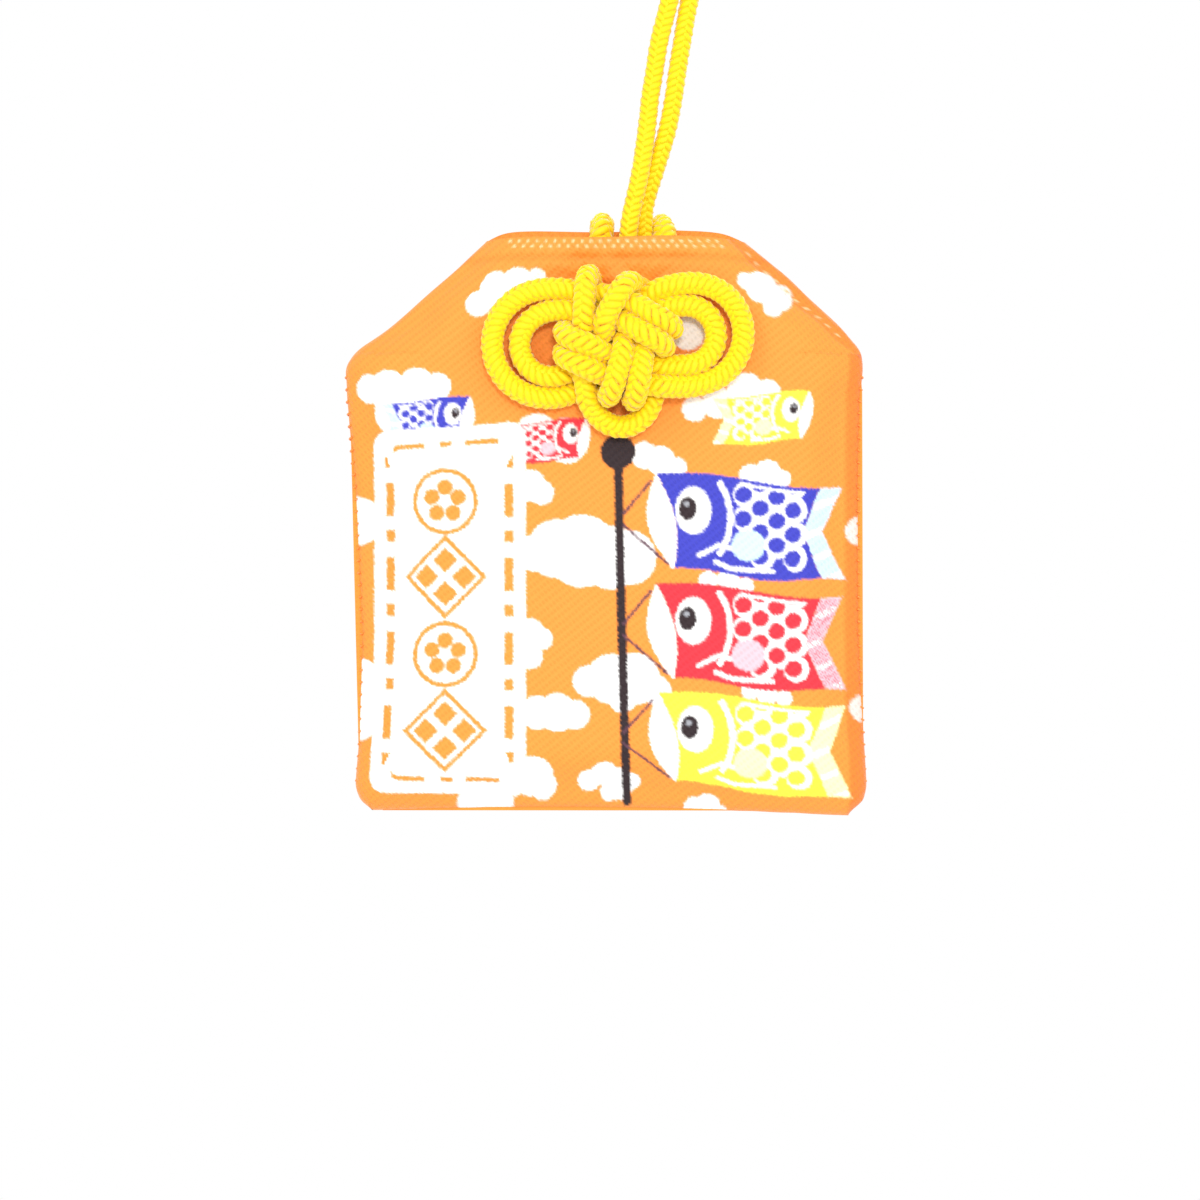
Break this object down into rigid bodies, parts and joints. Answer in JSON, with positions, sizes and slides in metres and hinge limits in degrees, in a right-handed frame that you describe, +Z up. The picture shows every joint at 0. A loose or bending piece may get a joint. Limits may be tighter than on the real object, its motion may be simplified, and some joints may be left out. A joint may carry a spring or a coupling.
{
  "type": "hanging charm pouch",
  "caption": "Small flat cloth charm pouch with shoulders, gathered and hung by a braided cord tied in a double looped knot on its front.",
  "frame": {"origin": "inner top of the hanging loop, where it rests on what it hangs from", "axes": "+Z up along the pouch's height, front with the knot towards -Y, +X to the right seen from the front"},
  "size_m": [0.0468, 0.0138, 0.1143],
  "materials": {
    "patterned_cloth": "figured satin weave",
    "plain_cloth": "plain weave",
    "lining": "fine plain weave",
    "thread": "twisted thread",
    "cord": "round braid",
    "board": "uncoated card",
    "paper": "soft paper",
    "slip": "planed"
  },
  "bodies": {
    "loop": {"hanging_loop": "cord"},
    "neck": {"left_neck_strand": "cord", "right_neck_strand": "cord"},
    "pouch": {"front_panel": "patterned_cloth", "back_panel": "patterned_cloth", "front_hem": "plain_cloth", "back_hem": "plain_cloth", "left_shoulder_tuck": "plain_cloth", "right_shoulder_tuck": "plain_cloth", "left_side_seam": "plain_cloth", "right_side_seam": "plain_cloth", "bottom_fold": "plain_cloth", "front_lining": "lining", "back_lining": "lining", "left_seam_thread": "thread", "right_seam_thread": "thread", "front_hem_thread": "thread", "back_hem_thread": "thread", "stiffener_board": "board", "charm_wrapper": "paper", "charm_slip": "slip", "left_gather_cord": "cord", "right_gather_cord": "cord"},
    "knot": {"knot_cord": "cord"}
  },
  "joints": [
    {"name": "sway", "type": "hinge", "parent": "loop", "child": "neck", "pos_m": [-0.0067, 0, -0.047], "axis": [0, 1, 0], "range_deg": [-40, 40]},
    {"name": "swing", "type": "hinge", "parent": "neck", "child": "pouch", "pos_m": [-0.0088, 0, -0.058], "axis": [1, 0, 0], "range_deg": [-50, 50]},
    {"name": "knot_lift", "type": "hinge", "parent": "pouch", "child": "knot", "pos_m": [-0.011, -0.0034, -0.0648], "axis": [-1, 0, 0], "range_deg": [0, 60]}
  ]
}
